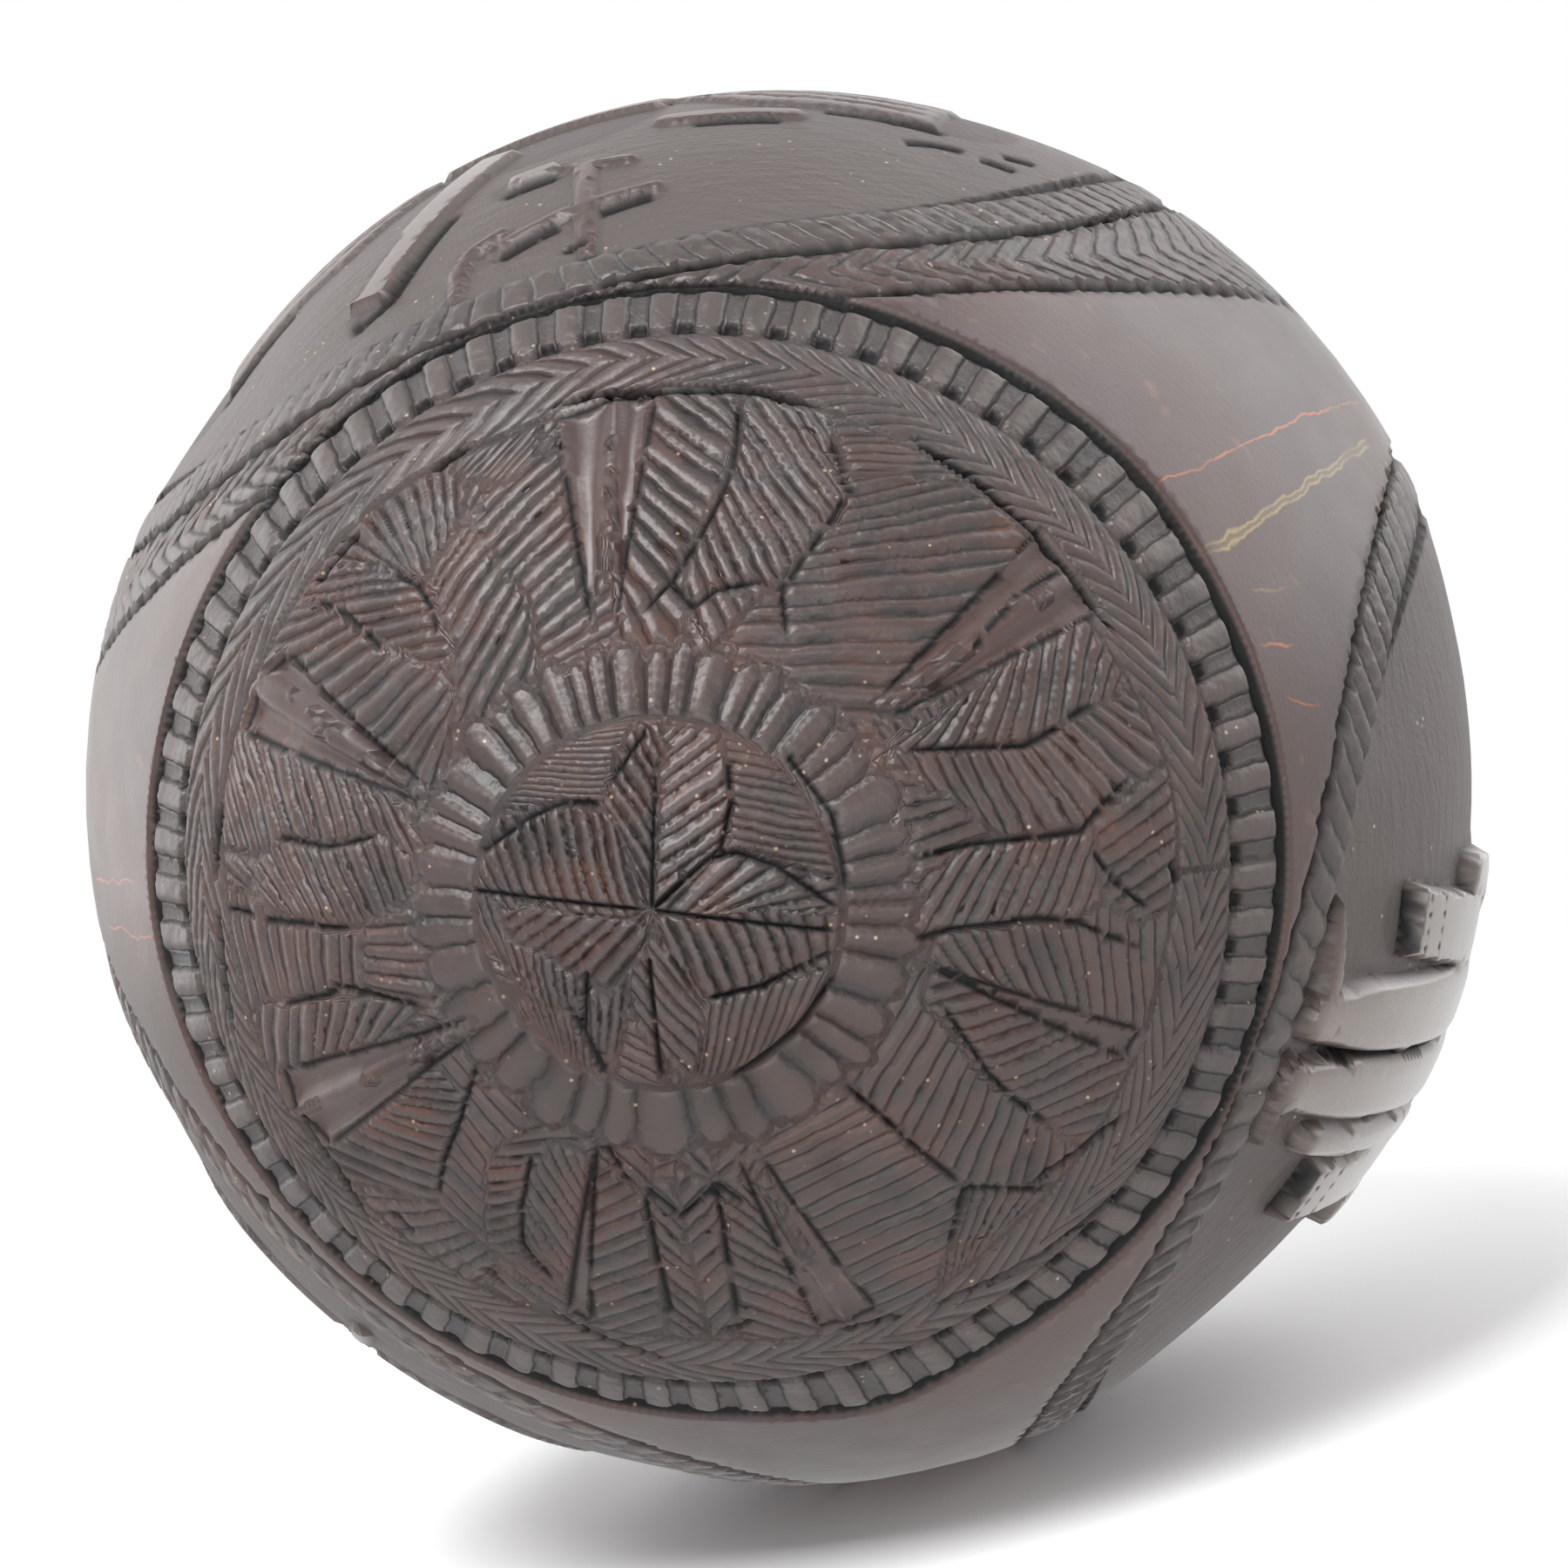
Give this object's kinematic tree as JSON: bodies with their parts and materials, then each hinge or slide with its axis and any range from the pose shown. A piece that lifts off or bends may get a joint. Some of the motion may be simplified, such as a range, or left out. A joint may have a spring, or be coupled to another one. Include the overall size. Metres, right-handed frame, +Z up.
{
  "type": "carved coconut flask",
  "caption": "Carved nut-shell flask lying on its side, with a leaf medallion on the pointed end, sunk side panels, and a turned neck closed by a pull-out stopper.",
  "frame": {"origin": "on the worn flat that the flask lies on, under the widest part of the shell", "axes": "+Z up, -Y towards the carved pointed end, +Y along the neck and stopper"},
  "size_m": [0.0992, 0.1466, 0.099],
  "materials": {
    "shell": "polished dark nut shell, near black in the cuts",
    "turned_wood": "waxed turned hardwood",
    "cork": "cork",
    "leather": "worn leather",
    "brass": "aged brass"
  },
  "bodies": {
    "flask": {"coconut_shell": "shell", "neck_seal": "leather", "neck_collar": "turned_wood", "collar_pin_1": "brass", "collar_pin_2": "brass", "collar_pin_3": "brass", "collar_pin_4": "brass"},
    "stopper": {"stopper_cork": "cork", "stopper_washer": "leather", "stopper_knob": "turned_wood", "stopper_pin": "turned_wood"}
  },
  "joints": [
    {"name": "stopper_pull", "type": "slide", "parent": "flask", "child": "stopper", "axis": [0, 1, 0], "range_m": [0, 0.045]}
  ]
}
